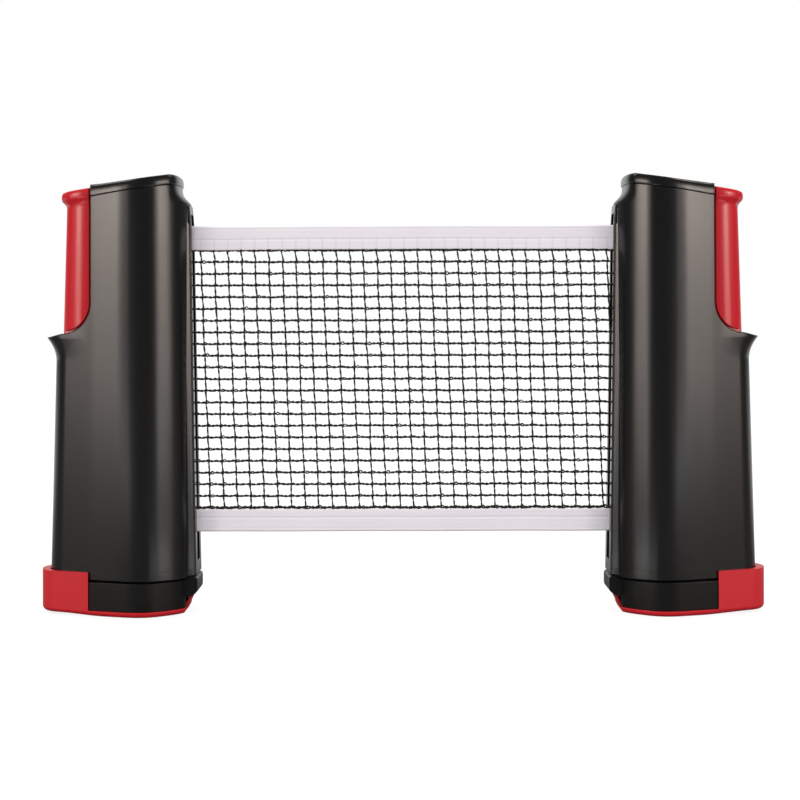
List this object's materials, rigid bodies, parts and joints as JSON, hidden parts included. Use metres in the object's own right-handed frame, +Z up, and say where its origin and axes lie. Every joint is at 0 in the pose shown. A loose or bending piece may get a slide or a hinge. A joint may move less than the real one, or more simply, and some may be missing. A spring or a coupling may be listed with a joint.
{
  "type": "table tennis net clamp",
  "caption": "Retractable table tennis net: spring-clamp posts with squeeze handles, and a net that rolls up on a drum in each post.",
  "frame": {"origin": "floor centre, midway between the two posts, under the net", "axes": "+X along the net from the left post to the right post, +Z up, -Y toward the camera of the picture"},
  "size_m": [0.3422, 0.045, 0.2057],
  "materials": {
    "black_shell": "satin moulded",
    "grip_pad": "matte",
    "red_handle": "gloss moulded",
    "red_foot": "fine satin",
    "white_plastic": "natural, unpainted",
    "steel": "bright zinc",
    "net_cord": "knotted cord",
    "net_tape": "woven tape"
  },
  "bodies": {
    "left_post": {"left_housing": "black_shell", "left_top_cap": "black_shell", "left_base_plate": "black_shell", "left_base_pad": "grip_pad", "left_base_screw_1": "steel", "left_base_screw_2": "steel", "left_reel_arbor": "steel", "left_upper_bush": "white_plastic", "left_guide_rod": "steel", "left_clamp_spring": "steel", "net_mesh": "net_cord", "net_top_tape": "net_tape", "net_bottom_tape": "net_tape"},
    "left_clamp": {"left_clamp_handle": "red_handle", "left_clamp_jaw": "red_foot", "left_jaw_pad": "grip_pad", "left_jaw_screw_1": "steel", "left_jaw_screw_2": "steel"},
    "left_reel": {"left_reel_tube": "white_plastic", "left_reel_bottom_plug": "white_plastic", "left_reel_top_plug": "white_plastic", "left_reel_spring": "steel", "left_net_key": "white_plastic", "left_net_roll": "net_cord"},
    "right_post": {"right_housing": "black_shell", "right_top_cap": "black_shell", "right_base_plate": "black_shell", "right_base_pad": "grip_pad", "right_base_screw_1": "steel", "right_base_screw_2": "steel", "right_reel_arbor": "steel", "right_upper_bush": "white_plastic", "right_guide_rod": "steel", "right_clamp_spring": "steel"},
    "right_clamp": {"right_clamp_handle": "red_handle", "right_clamp_jaw": "red_foot", "right_jaw_pad": "grip_pad", "right_jaw_screw_1": "steel", "right_jaw_screw_2": "steel"},
    "right_reel": {"right_reel_tube": "white_plastic", "right_reel_bottom_plug": "white_plastic", "right_reel_top_plug": "white_plastic", "right_reel_spring": "steel", "right_net_key": "white_plastic", "right_net_roll": "net_cord"}
  },
  "joints": [
    {"name": "net_extend", "type": "slide", "parent": "left_post", "child": "right_post", "axis": [1, 0, 0], "range_m": [-0.185, 1.5], "deforming": ["net_mesh", "net_top_tape", "net_bottom_tape"]},
    {"name": "left_clamp_slide", "type": "slide", "parent": "left_post", "child": "left_clamp", "axis": [0, 0, 1], "range_m": [-0.045, 0], "stiffness_N_per_m": 500, "springref_m": 0.03, "deforming": ["left_clamp_spring"]},
    {"name": "right_clamp_slide", "type": "slide", "parent": "right_post", "child": "right_clamp", "axis": [0, 0, 1], "range_m": [-0.045, 0], "stiffness_N_per_m": 500, "springref_m": 0.03, "deforming": ["right_clamp_spring"]},
    {"name": "left_reel_spin", "type": "hinge", "parent": "left_post", "child": "left_reel", "pos_m": [-0.1206, 0, 0.1], "axis": [0, 0, -1], "range_deg": [-480, 3900]},
    {"name": "right_reel_spin", "type": "hinge", "parent": "right_post", "child": "right_reel", "pos_m": [0.1206, 0, 0.1], "axis": [0, 0, -1], "range_deg": [-480, 3900]}
  ],
  "couplings": [
    {"joint": "left_reel_spin", "follows": "net_extend", "rad_per_m": 45},
    {"joint": "right_reel_spin", "follows": "net_extend", "rad_per_m": 45}
  ]
}
